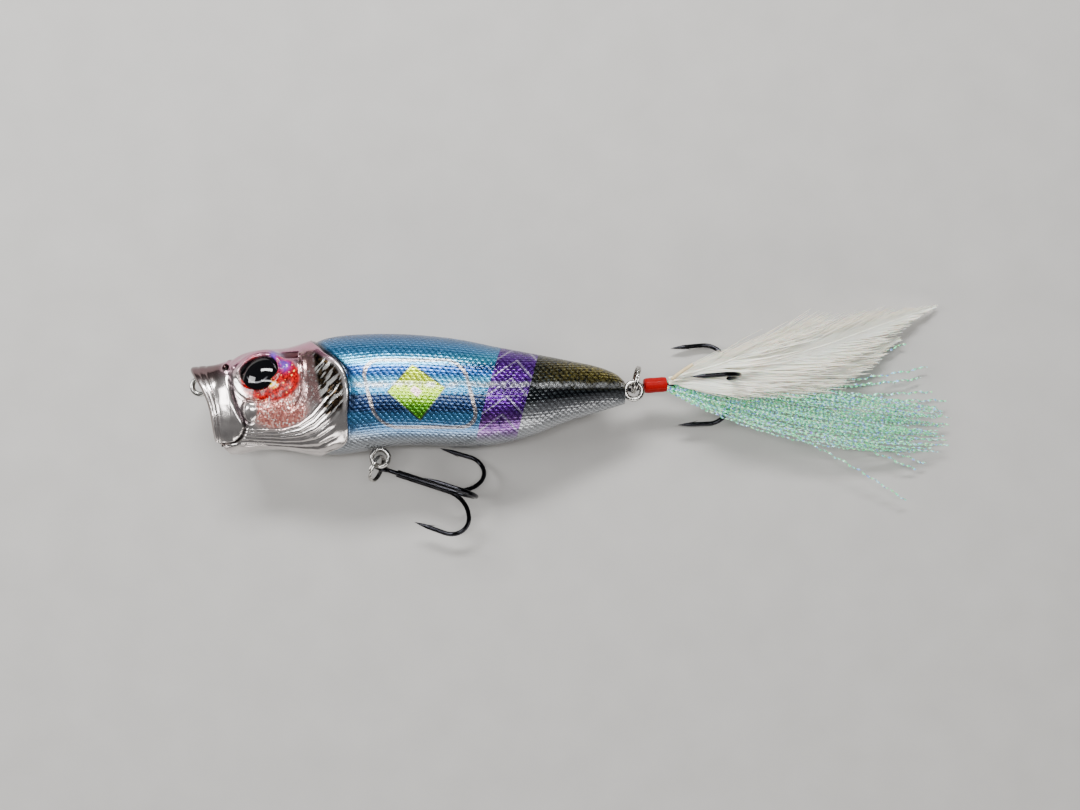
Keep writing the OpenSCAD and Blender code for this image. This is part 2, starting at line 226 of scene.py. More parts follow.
class Shader:
    """A material and its nodes. Lengths in a texture's size are millimetres."""

    def __init__(self, name, **sockets):
        self.material = bpy.data.materials.new(name)
        self.material.use_nodes = True
        self.tree = self.material.node_tree
        self.tree.nodes.clear()
        self.surface = self.tree.nodes.new("ShaderNodeBsdfPrincipled")
        out = self.tree.nodes.new("ShaderNodeOutputMaterial")
        self.tree.links.new(self.surface.outputs[0], out.inputs[0])
        self.where = self.tree.nodes.new("ShaderNodeTexCoord").outputs["Object"]
        for key, value in sockets.items():
            self.set(key.replace("_", " "), value)

    def feed(self, socket, value):
        if isinstance(value, bpy.types.NodeSocket):
            self.tree.links.new(value, socket)
        else:
            socket.default_value = value

    def set(self, name, value):
        self.feed(self.surface.inputs[name], value)

    def vector(self, x, y):
        return self.add("CombineXYZ", {0: x, 1: y})

    def add(self, kind, inputs, output=0, **settings):
        node = self.tree.nodes.new("ShaderNode" + kind)
        for key, value in settings.items():
            setattr(node, key, value)
        for key, value in inputs.items():
            self.feed(node.inputs[key], value)
        return node.outputs[output]

    def value(self, name):
        return self.add("Attribute", {}, "Fac", attribute_name=name)

    def math(self, operation, a, b=0.0):
        return self.add("Math", {0: a, 1: b}, operation=operation)

    def above(self, value, edge, soft=0.04):
        """0 where value is under edge, 1 where it is over it."""
        return self.add("MapRange", {"Value": value, "From Min": edge - soft, "From Max": edge + soft})

    def below(self, value, edge, soft=0.04):
        """1 where value is under edge, 0 where it is over it."""
        return self.add("MapRange", {"Value": value, "From Min": edge + soft, "From Max": edge - soft})

    def times(self, a, b):
        return self.math("MULTIPLY", a, b)

    def mix(self, factor, a, b):
        """Colour a where factor is 0, b where it is 1."""
        return self.add("Mix", {0: factor, 6: a, 7: b}, 2, data_type="RGBA")

    def over(self, under, zone, colour, strength=1.0):
        """colour laid over under where the named number zone is 1."""
        return self.mix(self.times(self.value(zone), strength), under, colour)

    def ramp(self, factor, stops, hard=False):
        node = self.tree.nodes.new("ShaderNodeValToRGB")
        node.color_ramp.interpolation = "CONSTANT" if hard else "LINEAR"
        elements = node.color_ramp.elements
        while len(elements) < len(stops):
            elements.new(0.5)
        for element, (position, colour) in zip(elements, stops):
            element.position = position
            element.color = colour
        self.feed(node.inputs[0], factor)
        return node.outputs[0]

    def noise(self, size, detail=3.0, roughness=0.5):
        return self.add("TexNoise", {"Vector": self.where, "Scale": 1 / (size * MM),
                                     "Detail": detail, "Roughness": roughness}, "Fac")

    def cells(self, size, output="Color"):
        return self.add("TexVoronoi", {"Vector": self.where, "Scale": 1 / (size * MM)}, output)

    def between(self, value, low, high):
        """value's 0 to 1 as low to high."""
        return self.add("MapRange", {"Value": value, "To Min": low, "To Max": high})

    def part(self, colour, channel=0):
        return self.add("SeparateColor", {"Color": colour}, channel)

    def part_y(self, vector):
        return self.add("SeparateXYZ", {0: vector}, 1)

    def bump(self, height, distance, strength=1.0, normal=None):
        """A normal that follows height, which stands for distance millimetres."""
        inputs = {"Height": height, "Distance": distance * MM, "Strength": strength}
        if normal is not None:
            inputs["Normal"] = normal
        return self.add("Bump", inputs)

    def mottle(self, size, detail, dark, light, roughness=0.5):
        """A colour that drifts from dark to light."""
        self.set("Base Color", self.mix(self.noise(size, detail, roughness), srgb(*dark), srgb(*light)))

    def grain(self, size, detail, depth, strength, roughness=0.5):
        """Small dents all over the surface."""
        self.set("Normal", self.bump(self.noise(size, detail, roughness), depth, strength))

    def tip(self, colour, tilt, normal=None):
        """The surface's normal, tipped by up to tilt in the direction a random colour stands for."""
        cell = self.add("VectorMath", {0: colour, 1: (0.5, 0.5, 0.5)}, operation="SUBTRACT")
        lean = self.add("VectorMath", {0: cell, "Scale": tilt}, operation="SCALE")
        normal = normal or self.add("NewGeometry", {}, "Normal")
        tipped = self.add("VectorMath", {0: normal, 1: lean}, operation="ADD")
        return self.add("VectorMath", {0: tipped}, operation="NORMALIZE")


# --- the body's outline ---

# Distance from the mouth, top, bottom, half width and squareness of the section, as in the CAD.
STATIONS = np.array([
    [0.5, 3.5, -11.6, 6.2, 2.6], [2.5, 3.75, -11.8, 6.0, 2.5], [4.5, 3.95, -11.95, 5.7, 2.4],
    [7, 4.7, -11.9, 5.9, 2.3], [9.5, 6.1, -11.6, 6.5, 2.3], [12.5, 6.8, -11.1, 7.1, 2.3],
    [17, 7.05, -11.05, 7.8, 2.3], [21.5, 8.1, -11.7, 8.4, 2.3], [25.5, 9.05, -12.05, 8.7, 2.3],
    [30, 9.5, -11.45, 8.8, 2.3], [36, 9.6, -10.35, 8.8, 2.3], [42, 9.3, -10.2, 8.65, 2.3],
    [48, 8.6, -10.4, 8.2, 2.3], [54, 7.4, -10.1, 7.45, 2.25], [61, 6.1, -8.4, 6.2, 2.2],
    [67.5, 4.85, -5.9, 4.7, 2.2], [72.7, 3.75, -4.3, 3.4, 2.1], [76, 2.4, -3.3, 2.5, 2.1],
    [77.4, 1.2, -2.9, 1.9, 2.1]])
NOSE, TAIL = STATIONS[0, 0], STATIONS[-1, 0]
# The mouth slants back by RAKE at the chin, which fades out over RAKE_RUN along the body.
RAKE, RAKE_RUN, RAKE_POWER = 5.9, 14.0, 3.6
RAKE_TOP = STATIONS[0, 1]
RAKE_H = RAKE_TOP - STATIONS[0, 2]
# The lip's thickness and rounding, and the cup's depth and middle height.
LIP_T, LIP_ROLL, CUP_DEPTH, CUP_Y = 0.9, 0.45, 4.2, -3.65
CHIN_BACK, TAIL_BULGE = 1.1, 0.06
CUP_H = RAKE_H / 2 - 2 * LIP_T
CUP_W = STATIONS[0, 3] - LIP_T
COLUMNS = 209


def section(x):
    """Top, bottom, half width and squareness at distances x, on a smooth cubic through the stations."""
    s = STATIONS
    slope = np.vstack([s[1] - s[0], s[2:] - s[:-2], s[-1] - s[-2]])
    slope = slope[:, 1:] / slope[:, :1]
    i = np.clip(np.searchsorted(s[:, 0], x, side="right") - 1, 0, len(s) - 2)
    d = s[i + 1, 0] - s[i, 0]
    t = ((x - s[i, 0]) / d)[:, None]
    d = d[:, None]
    p, q = s[i, 1:], s[i + 1, 1:]
    return (p * (1 + 2 * t) * (1 - t) ** 2 + slope[i] * d * t * (1 - t) ** 2
            + q * t * t * (3 - 2 * t) - slope[i + 1] * d * t * t * (1 - t)).T


def slant(x, y):
    """How far back the mouth's rake moves a point."""
    drop = 1 - (1 - np.clip((RAKE_TOP - y) / RAKE_H, 0, 1)) ** RAKE_POWER
    return RAKE * drop * np.maximum(1 - (x - NOSE) / RAKE_RUN, 0) ** 2


def outer_rows(x, f):
    """The body's outside at distances x, at angles f from the belly to the back of the left flank."""
    top, bottom, half, square = (v[:, None] for v in section(x))
    power = 2 / square
    y = (top + bottom) / 2 + (top - bottom) / 2 * spow(np.sin(f), power)
    z = half * np.cos(f) ** power
    x = np.broadcast_to(x[:, None], y.shape)
    return np.stack([x + slant(x, y), y, z], -1)


def cup_row(depth, shrink, f):
    """A ring of the mouth's cup, from 0 at the lip to 1 at its bottom."""
    power = 2 / STATIONS[0, 4]
    y = CUP_Y + shrink * CUP_H * spow(np.sin(f), power)
    z = shrink * CUP_W * np.cos(f) ** power
    return np.stack([NOSE + depth * CUP_DEPTH + slant(NOSE, y), y, z], -1)


def cup_rows(f):
    """Rings from the middle of the cup's bottom out to the lip, with -2 to -1 for their distances."""
    floor = [cup_row(1 + 0.05 * (1 - (s / 0.48) ** 2), s, f) for s in np.linspace(0, 0.45, 6)]
    q = np.linspace(1, 0, 16)
    return floor + [cup_row(k, 1 - 0.52 * k**2.2, f) for k in q], [-2.0] * len(floor) + list(-1 - q)


def lip_rows(inner, outer):
    """Rings round the lip's edge, from the cup to the outside, with -1 to 0 for their distances."""
    reach = np.minimum(np.linalg.norm(outer - inner, axis=1)[:, None] / 2, LIP_ROLL)
    angles = np.linspace(0, math.pi, 11)[1:-1]
    rows = [(inner + outer) / 2 + (inner - outer) / 2 * math.cos(a)
            - np.array([1.0, 0, 0]) * reach * math.sin(a) for a in angles]
    return rows, list(-1 + angles / math.pi)


def tail_rows(end):
    """Rings that close the tail's end with a slight bulge."""
    middle = np.array([TAIL, (STATIONS[-1, 1] + STATIONS[-1, 2]) / 2, 0])
    rows = []
    for k, s in enumerate((0.97, 0.9, 0.8, 0.6, 0.4, 0.2, 0.0)):
        ring = middle + (end - middle) * s
        ring[:, 0] = TAIL + TAIL_BULGE * math.sin(min(k + 1, 3) / 3 * math.pi / 2)
        rows.append(ring)
    return rows, [TAIL + 0.1] * len(rows)


def body_grid():
    """Points from the bottom of the cup, round the lip and along the outside to the middle of the tail's
    end, with each row's distance from the mouth. In front of the outside the distance is negative."""
    f = np.linspace(-math.pi / 2, math.pi / 2, COLUMNS)
    x = np.concatenate([np.arange(NOSE, 30, 0.16), np.linspace(30, TAIL, 243)])
    cup, cup_distance = cup_rows(f)
    outside = outer_rows(x, f)
    lip, lip_distance = lip_rows(cup[-1], outside[0])
    tail, tail_distance = tail_rows(outside[-1])
    points = np.array(cup + lip + list(outside) + tail)
    distance = np.array(cup_distance + lip_distance + list(x) + tail_distance)
    near_mouth = ease(5.0, 0.5, distance - NOSE)[:, None]
    points[..., 0] += CHIN_BACK * ease(-9.3, -10.1, points[..., 1]) * near_mouth
    points[:, [0, -1], 2] = 0
    return points, distance


# --- relief and paint zones on the body ---

LIP_EDGE = [(8.2, 2.6), (8.6, 1.2), (9.3, -1), (10.3, -4), (11.4, -6.6), (11.0, -8.0), (9.6, -9.3),
            (7.2, -9.7), (4.5, -9.8)]
GILL_EDGE = [(21.5, 8.4), (24.1, 7.0), (25.5, 5.9), (27.6, 4.66), (29.0, 3.1), (29.8, 1.18), (30.1, -1.17),
             (29.8, -4.64), (29.6, -8.1), (28.6, -9.9), (26.0, -11.0), (22.5, -12.2)]
CHEEK_EDGE = [(21.0, 5.2), (21.5, 4.2), (21.9, 2.2), (22.1, -0.75), (21.5, -2.2), (20.9, -3.4)]
BROW = [(9.6, 3.4), (10.6, 4.3), (12.3, 5.1), (14.3, 5.65), (16.2, 5.5), (17.6, 4.7), (18.3, 3.9)]
UNDER_EYE = [(9.2, 0.9), (10.4, -0.9), (12.2, -2.2), (14.2, -2.4), (16.0, -1.9)]
JAW_TOP = np.array([(9, -8.4), (11.5, -7.0), (14, -7.1), (18.4, -7.1), (21.5, -6.2), (24, -4.4),
                    (26.2, -1.8), (28.6, 1.2)])
JAW_LOW = np.array([(9, -10.0), (14, -10.4), (18.4, -10.7), (24.3, -11.2), (29, -9.6)])
JAW_LINES = 6
EYE, EYE_TILT, EYE_HALF = (14.4, 2.6), math.radians(15), (3.3, 2.0)
NOSTRIL = (7.8, 3.3)
POCKET = (12.75, -4.2)
SCALE_PITCH, SCALE_ROW, SCALE_H = 1.0, 0.6, 0.07
BAND_W = 6.9


def eye_gap(x, y):
    """Distance outside the seen edge of the eye."""
    dx, dy = x - EYE[0], y - EYE[1]
    along = (dx * math.cos(EYE_TILT) + dy * math.sin(EYE_TILT)) / EYE_HALF[0]
    up = (dy * math.cos(EYE_TILT) - dx * math.sin(EYE_TILT)) / EYE_HALF[1]
    radius = np.hypot(along, up)
    return (radius - 1) * np.hypot(along * EYE_HALF[0], up * EYE_HALF[1]) / np.maximum(radius, 1e-6)


def scale_height(x, girth):
    """Overlapping slanted scales in staggered rows, 0 to 1."""
    row = girth / SCALE_ROW
    across = row - np.floor(row)
    along = x / SCALE_PITCH + 0.5 * (np.floor(row) % 2) + 0.45 * across
    along -= np.floor(along)
    return along**1.3 * (0.5 - 0.5 * np.cos(2 * math.pi * across))


def read_body(points, distance):
    """Everything on the body's outside that depends on where a point is: x, y and named distances."""
    x, y = points[..., 0], points[..., 1]
    steps = np.linalg.norm(np.diff(points, axis=1), axis=2)
    girth = np.concatenate([np.zeros((len(points), 1)), np.cumsum(steps, axis=1)], axis=1)
    girth -= girth[:, COLUMNS // 2][:, None]
    outside = ease(-0.3, 0.4, np.broadcast_to(distance[:, None], x.shape) - NOSE)
    lip, lip_side, lip_along = line_distance(x, y, LIP_EDGE)
    gill, gill_side, _ = line_distance(x, y, GILL_EDGE)
    cheek, cheek_side, _ = line_distance(x, y, CHEEK_EDGE)
    jaw_top = np.interp(x, *JAW_TOP.T)
    jaw_low = np.interp(x, *JAW_LOW.T)
    return {
        "x": x, "y": y, "z": points[..., 2], "girth": girth, "outside": outside,
        "flank": ease(0.4, 2.2, points[..., 2]),
        "lip": lip * lip_side, "lip_along": lip_along,
        "gill": -gill * gill_side, "cheek": cheek * -cheek_side,
        "brow": line_distance(x, y, BROW)[0], "under_eye": line_distance(x, y, UNDER_EYE)[0],
        "eye": eye_gap(x, y), "jaw": (jaw_top - y) / (jaw_top - jaw_low),
        "nostril": np.hypot(x - NOSTRIL[0], y - NOSTRIL[1]),
        "pocket": np.hypot((x - POCKET[0]) / 1.15, (y - POCKET[1]) / 1.7),
        "mouth": np.broadcast_to(distance[:, None], x.shape) - NOSE,
    }


def head_relief(r):
    """Height in millimetres of the moulded head over the smooth loft."""
    flank, x = r["flank"], r["x"]
    lip_plate = 0.32 * ease(-0.15, 0.25, r["lip"]) * ease(9, 7.5, r["mouth"])
    lip_crease = -0.62 * bump(r["lip"] + 0.18, 0.24) * ease(0.04, 0.2, r["lip_along"])
    lip_folds = -0.13 * bump(r["mouth"] - 1.5, 0.2) - 0.11 * bump(r["mouth"] - 2.9, 0.22)
    lip_folds = lip_folds * ease(-0.1, 0.3, r["lip"])
    gill = np.where(r["gill"] < 0, 0.34 * np.exp(r["gill"] / 2.6), -0.3 * np.exp(-r["gill"] / 1.1))
    gill = gill * ease(0.0, 0.12, np.abs(r["gill"]))
    cheek = -0.3 * bump(r["cheek"], 0.2) + 0.13 * bump(r["cheek"] - 0.5, 0.3)
    jaw_zone = ease(-0.12, 0.05, r["jaw"]) * ease(1.15, 0.98, r["jaw"]) * ease(9.6, 12, x) * ease(28.6, 26, x)
    jaw = 0.24 * (np.abs(np.sin(math.pi * JAW_LINES * r["jaw"])) ** 0.8 - 0.5) * jaw_zone
    brow = 0.55 * bump(r["brow"], 0.6) * ease(0.0, 0.3, r["eye"])
    socket = 0.28 * bump(r["eye"] - 0.3, 0.35) - 2.2 * ease(0.12, -0.3, r["eye"])
    lid = 0.7 * ease(1.9, 0.5, r["eye"]) * ease(-0.6, 1.4, r["y"] - EYE[1] - 0.25 * (x - EYE[0]))
    under = -0.26 * bump(r["under_eye"], 0.2) * ease(0.2, 0.6, r["eye"])
    nostril = 0.12 * bump(r["nostril"] - 0.68, 0.16) - 0.22 * ease(0.55, 0.3, r["nostril"])
    pocket = 0.3 * ease(1.1, 0.3, r["pocket"]) - 0.25 * bump(r["pocket"] - 1.15, 0.13)
    patch = -0.16 * sunk_patch(x, r["y"])
    on_flank = lip_plate + lip_crease + cheek + brow + socket + under + nostril + pocket + patch
    on_flank = on_flank + lid * ease(-0.15, 0.1, r["eye"])
    return gill + flank * on_flank + lip_folds + ease(0.2, 1.2, r["z"]) * jaw


def body_relief(r):
    """Height of the head's moulding, the scales and the parting line."""
    scales = SCALE_H * scale_height(r["x"], r["girth"]) * ease(0.5, 1.4, r["gill"]) * ease(78, 76, r["x"])
    seam = -0.07 * bump(r["z"], 0.1)
    head = head_relief(r) * r["outside"]
    return head, scales, seam


def push(points, height):
    """Moves grid points out along the surface's normals."""
    along = np.gradient(points, axis=0)
    across = np.gradient(points, axis=1)
    normal = np.cross(across, along)
    length = np.linalg.norm(normal, axis=2)[..., None]
    normal = np.where(length > 1e-9, normal / np.maximum(length, 1e-9), 0)
    if normal[len(normal) // 2, COLUMNS // 2, 2] < 0:
        normal = -normal
    return points + normal * height[..., None]


def diamond_gap(x, y):
    """Distance inside the edge of the four-cornered mark on the flank."""
    corners = np.array([(40.7, 3.7), (46.2, -0.1), (42.0, -5.5), (36.7, -0.8)])
    gap = np.full(x.shape, 1e9)
    for a, b in zip(corners, np.roll(corners, -1, axis=0)):
        d = (b - a) / np.linalg.norm(b - a)
        gap = np.minimum(gap, (y - a[1]) * -d[0] + (x - a[0]) * d[1])
    return gap


def outline_gap(x, y):
    """Distance from a plain rounded outline round the mark."""
    dx, dy = (x - 42.0) + 0.25 * (y + 1), y + 1.1
    corner = 3.2
    past_x, past_y = np.abs(dx) - 8.6 + corner, np.abs(dy) - 5.7 + corner
    outside = np.hypot(np.maximum(past_x, 0), np.maximum(past_y, 0))
    inside = np.minimum(np.maximum(past_x, past_y), 0)
    return np.abs(outside + inside - corner)


def band_gap(x, y):
    """Distance inside the slanted band, and how far across it, 0 to 1."""
    front = 53.6 + 0.26 * y
    return np.minimum(x - front, front + BAND_W - x), (x - front) / BAND_W


def zigzag_gap(across, y):
    """Distance to the nearest of the band's pale chevrons."""
    fold = np.abs(across % 1 - 0.5) * 6.0
    row = (y + fold) / 3.1
    return np.abs(row - np.floor(row) - 0.5) * 3.1


def sunk_patch(x, y):
    """1 in the small oblong dent behind the brow."""
    return ease(0.12, -0.12, np.maximum(np.abs(x - 19.1) - 1.7, np.abs(y - 5.5) - 0.6))


def body_zones(r, head):
    """The named numbers that the body's paint reads."""
    x, y = r["x"], r["y"]
    band, across = band_gap(x, y)
    red_outer = np.hypot((x - 16.4) / 5.5, (y - 1.5) / 4.1)
    cheek = ease(1.12, 0.75, np.hypot((x - 18.0) / 6.4, (y + 2.4) / 5.6)) * ease(0.2, -0.4, r["lip"])
    cheek = cheek * ease(0.9, 1.3, r["pocket"])
    behind = across * BAND_W - BAND_W / 2
    turned = x + 0.25 * y
    diagonal = math.radians(48)
    return {
        "girth": r["girth"], "gill": r["gill"], "eye": r["eye"], "diamond": diamond_gap(x, y),
        "outline": outline_gap(x, y), "band": band, "zigzag": zigzag_gap(across, y),
        "station": x, "height": y, "behind": behind,
        "red": ease(1.06, 0.9, red_outer) * ease(-0.05, 0.1, r["eye"]) * ease(5.2, 4.4, y),
        "spark": ease(1.1, 0.6, np.hypot((x - 17.0) / 1.1, (y - 0.4) / 0.7)),
        "row": ease(0.55, 0.2, np.abs(y + 1.35 + 0.05 * (x - 13))) * ease(11.5, 13, x) * ease(18.6, 17.6, x),
        "cheek": cheek * ease(0.15, -0.1, r["jaw"]) * ease(24.0, 20.8, x + 0.3 * y),
        "pink": np.maximum(ease(1.5, 4.2, y + 0.12 * (12 - x)), 0.8 * bump(r["brow"], 0.8))
        * ease(0.6, -0.4, r["gill"]),
        "violet": np.maximum(bump(np.hypot(x - 16.9, y - 4.7), 0.9), bump(np.hypot(x - 18.9, y - 3.6), 0.8)),
        "mesh": ease(20.6, 21.2, x) * ease(25.6, 24.8, turned) * ease(-4.5, -1.5, y) * ease(7, 5.6, y),
        "streak": ease(24.7, 25.3, turned) * ease(-6.0, -4.0, y - 0.5 * (x - 27)) * ease(6.3, 5.4, y)
        * ease(-0.5, -1.0, r["gill"]),
        "streak_along": x * math.cos(diagonal) + y * math.sin(diagonal),
        "streak_across": y * math.cos(diagonal) - x * math.sin(diagonal),
        "patch": sunk_patch(x, y),
        # Painted shade in the head's dents: darker the deeper the moulding sinks.
        "hollow": np.clip(-head * 1.6, 0, 1) * r["outside"], "cup": ease(0.3, -0.2, r["mouth"]),
        # Painted shade under the upper lip's rim, and in the crease behind the lip plate.
        "lip_shade": ease(8.5, 6.0, x) * ease(-0.2, 1.8, y) * ease(4.2, 3.5, y),
        "groove_shade": ease(-1.5, -0.5, r["lip"]) * ease(0.1, -0.1, r["lip"]) * ease(2.8, 1.8, y)
        * ease(-7.5, -6.0, y),
        "nostril": r["nostril"], "belly": ease(-6.8, -9.8, y),
    }


def build_half(name, side, material):
    """One half of the body, closed along its parting plane."""
    points, distance = body_grid()
    r = read_body(points, distance)
    head, scales, seam = body_relief(r)
    zones = body_zones(r, head)
    row, last = np.arange(len(points)), len(points) - 1
    keep_ends = ease(0, 2, row) * ease(last, last - 3, row)
    points = push(points, (head + scales + seam) * keep_ends[:, None])
    points[:, [0, -1], 2] = 0
    points[..., 2] *= side
    points[..., 2] = np.maximum(points[..., 2], FLOOR_Z)
    faces = grid_faces(len(points), COLUMNS)
    n = len(points) * COLUMNS
    index = np.arange(n).reshape(len(points), COLUMNS)
    parting = np.concatenate([index[:, 0], index[::-1, -1]])
    if side < 0:
        faces = faces[:, ::-1]
        parting = parting[::-1]
    faces = faces.tolist() + [parting.tolist()]
    return make_mesh(name + "_skin", points.reshape(-1, 3), faces, "lure_body", material,
                     zones, 1, [name])


def body_material():
    """Clear-coated foil: blue scales, a purple band, a dark tail and a chrome head with a glitter cheek."""
    s = Shader("body_foil", Coat_Weight=0.3, Coat_Roughness=0.04)
    height, station, gill = s.value("height"), s.value("station"), s.value("gill")
    on_body = s.above(gill, 0.0)
    across, along, chance = scale_cells(s, station)
    rear = body_colour(s, height, station, gill)
    # Painted light on each scale: a faint painted glint on its raised part, and painted shade towards dark navy
    # over the rest, a little less on the mark.
    glint = s.times(s.above(along, 0.42, 0.12), s.above(across, 0.30, 0.12))
    scale_shade = s.math("SUBTRACT", 0.42, s.times(s.above(s.value("diamond"), 0.0), 0.12))
    rear = s.mix(glint, s.mix(scale_shade, rear, srgb(0, 6, 20)), s.mix(0.05, rear, srgb(214, 240, 250)))
    s.set("Base Color", s.mix(on_body, head_colour(s), rear))
    plain = s.math("MAXIMUM", s.value("red"), s.times(s.value("cheek"), 0.4))
    s.set("Metallic", s.math("SUBTRACT", 0.92, s.times(plain, 0.92)))
    s.set("Roughness", s.between(on_body, 0.19, 0.27))
    relief = s.times(s.math("POWER", along, 1.3), s.above(across, 0.1, 0.1))
    lined = s.bump(s.noise(2.4, 1.0), 0.16, s.math("SUBTRACT", 1.0, on_body))
    lined = s.bump(s.times(relief, on_body), 0.09, 0.7, lined)
    sparkly = s.math("MAXIMUM", s.value("red"), s.value("cheek"))
    glitter = s.times(s.math("SUBTRACT", 0.36, s.times(s.value("red"), 0.32)), sparkly)
    normal = s.tip(chance, s.times(on_body, 0.06), lined)
    s.set("Normal", s.tip(s.cells(0.2), s.times(s.math("SUBTRACT", 1.0, on_body), glitter), normal))
    return s.material


def scale_cells(s, station):
    """Where a point is in its scale, across and along, and a random colour for that scale."""
    row = s.math("DIVIDE", s.value("girth"), SCALE_ROW)
    number = s.math("FLOOR", row)
    across = s.math("SUBTRACT", row, number)
    odd = s.times(s.math("FLOORED_MODULO", number, 2.0), 0.5)
    along = s.math("ADD", s.math("ADD", s.math("DIVIDE", station, SCALE_PITCH), odd), s.times(across, 0.45))
    chance = s.add("TexWhiteNoise", {"Vector": s.vector(s.math("FLOOR", along), number)}, "Color",
                   noise_dimensions="2D")
    return across, s.math("FRACT", along), chance


def body_colour(s, height, station, gill):
    """Behind the gill: banded blue with its mark, the purple band, the dark tail and the pale belly, with painted
    reflection bands, a painted highlight line and a painted shadow under the gill plate's edge.
    """
    level = s.add("MapRange", {"Value": height, "From Min": -12.0, "From Max": 12.0})
    # The blue's stops by height carry painted reflection: the bright cyan bands at about y 0 and y 4.6 are painted
    # highlights, and the dark navy band at about y -3.8 to -1.4 is partly the blue's own darker paint and partly
    # painted reflection.
    blue = s.ramp(level, [
        (0.06, srgb(150, 158, 168)), (0.14, srgb(112, 142, 176)), (0.21, srgb(92, 150, 205)),
        (0.29, srgb(78, 150, 208)), (0.34, srgb(26, 54, 100)), (0.44, srgb(14, 32, 66)),
        (0.49, srgb(60, 160, 215)), (0.545, srgb(90, 190, 235)), (0.59, srgb(30, 84, 150)),
        (0.645, srgb(26, 74, 140)), (0.69, srgb(84, 190, 230)), (0.75, srgb(60, 140, 195)),
        (0.90, srgb(44, 96, 156))])
    gold = s.ramp(s.noise(0.35), [(0.38, srgb(12, 12, 10)), (0.62, srgb(156, 142, 60))])
    dark = s.mix(s.times(s.above(station, 66, 6), s.above(height, 0.6, 1.2)), srgb(14, 14, 15), gold)
    side = s.math("MULTIPLY_ADD", station, -0.13)
    side.node.inputs[2].default_value = 11.1
    tail = s.mix(s.above(s.math("ADD", height, side), 0.0, 0.9), srgb(176, 178, 182), dark)
    violet = s.mix(s.above(height, -5.2, 1.2), srgb(146, 84, 176), srgb(92, 2, 146))
    violet = s.mix(s.above(s.noise(1.1), 0.58, 0.12), violet, srgb(62, 4, 104))
    violet = s.mix(s.times(s.below(s.value("zigzag"), 0.2, 0.06), 0.8), violet, srgb(190, 176, 214))
    lime = s.mix(s.above(height, -1.4, 2.0), srgb(84, 164, 0), srgb(176, 200, 0))
    lime = s.mix(s.above(s.value("diamond"), 2.6, 0.12), lime, srgb(226, 190, 196))
    colour = s.mix(s.times(s.below(s.value("outline"), 0.3, 0.07), 0.75), blue, srgb(184, 170, 162))
    colour = s.mix(s.above(s.value("diamond"), -0.2), colour, srgb(84, 90, 92))
    colour = s.mix(s.above(s.value("diamond"), 0.0), colour, lime)
    colour = s.mix(s.above(s.value("behind"), 0.0), colour, tail)
    colour = s.mix(s.above(s.value("band"), 0.0), colour, violet)
    colour = s.over(colour, "belly", srgb(150, 154, 160))
    # Painted highlight: a broken white line along the body at about y 0.05 to 0.85.
    line = s.times(s.above(height, 0.05, 0.3), s.below(height, 0.85, 0.3))
    broken_highlight = s.times(s.above(s.noise(1.5), 0.46, 0.1), s.above(s.cells(0.34, "Distance"), 0.3, 0.1))
    colour = s.mix(s.times(s.times(line, broken_highlight), 0.8), colour, srgb(246, 248, 250))
    shadow = s.times(s.below(gill, 0.75, 0.35), s.above(height, 0.0, 3.0))
    return s.mix(shadow, colour, srgb(8, 16, 38))


def head_colour(s):
    """In front of the gill: chrome with a pink top, a red patch round the eye and a glitter cheek, with painted
    shade under the upper lip's rim, behind the lip plate, in the head's dents, in the eye socket and in the
    nostril.
    """
    glitter = s.part(s.cells(0.26), 1)
    silver = s.mix(s.noise(1.6), srgb(178, 170, 170), srgb(240, 234, 230))
    head = s.over(silver, "pink", srgb(198, 132, 158), 0.9)
    cheek = s.ramp(glitter, [(0.0, srgb(136, 40, 32)), (0.25, srgb(182, 80, 64)), (0.5, srgb(206, 114, 98)),
                             (0.75, srgb(238, 178, 164)), (0.93, srgb(255, 244, 236))], hard=True)
    # Painted shade under the upper lip's rim, and in the crease behind the lip plate.
    head = s.over(head, "lip_shade", srgb(78, 64, 58), 0.85)
    head = s.over(head, "groove_shade", srgb(92, 56, 70), 0.8)
    head = s.over(head, "cheek", cheek, 0.85)
    head = s.over(head, "row", srgb(250, 240, 240), s.above(glitter, 0.3, 0.1))
    net = s.above(s.cells(0.5, "Distance"), 0.30, 0.12)
    head = s.over(head, "mesh", srgb(150, 118, 116), net)
    head = s.over(head, "patch", srgb(84, 26, 40))
    slanted = s.vector(s.times(s.value("streak_along"), 0.28), s.times(s.value("streak_across"), 1.35))
    grain = s.add("TexNoise", {"Vector": slanted, "Scale": 1.0, "Detail": 2.0}, "Fac")
    ink = s.mix(s.above(s.noise(0.5), 0.55, 0.1), srgb(14, 10, 8), srgb(84, 66, 44))
    streaks = s.mix(s.above(grain, 0.54, 0.03), ink, srgb(240, 238, 234))
    head = s.over(head, "streak", streaks)
    red = s.ramp(glitter, [(0.0, srgb(96, 0, 0)), (0.3, srgb(146, 0, 0)), (0.75, srgb(190, 0, 0)),
                           (0.98, srgb(255, 170, 90))], hard=True)
    spark = s.ramp(glitter, [(0.0, srgb(255, 120, 20)), (0.35, srgb(255, 226, 60)),
                             (0.6, srgb(255, 250, 236))], hard=True)
    head = s.over(head, "red", s.over(red, "spark", spark))
    head = s.over(head, "violet", srgb(96, 74, 214), 0.75)
    # Painted shade in the head's dents, darker the deeper they sink.
    head = s.over(head, "hollow", srgb(30, 20, 24))
    # Painted shade in the eye socket: near-black at and just outside the eye's seen edge, where the skin sinks
    # under the lens.
    head = s.mix(s.below(s.value("eye"), 0.12, 0.08), head, srgb(14, 8, 10))
    # Painted shade in the nostril's pit.
    head = s.mix(s.below(s.value("nostril"), 0.62, 0.08), head, srgb(34, 6, 8))
    return s.over(head, "cup", srgb(128, 116, 112))


# --- eyes ---

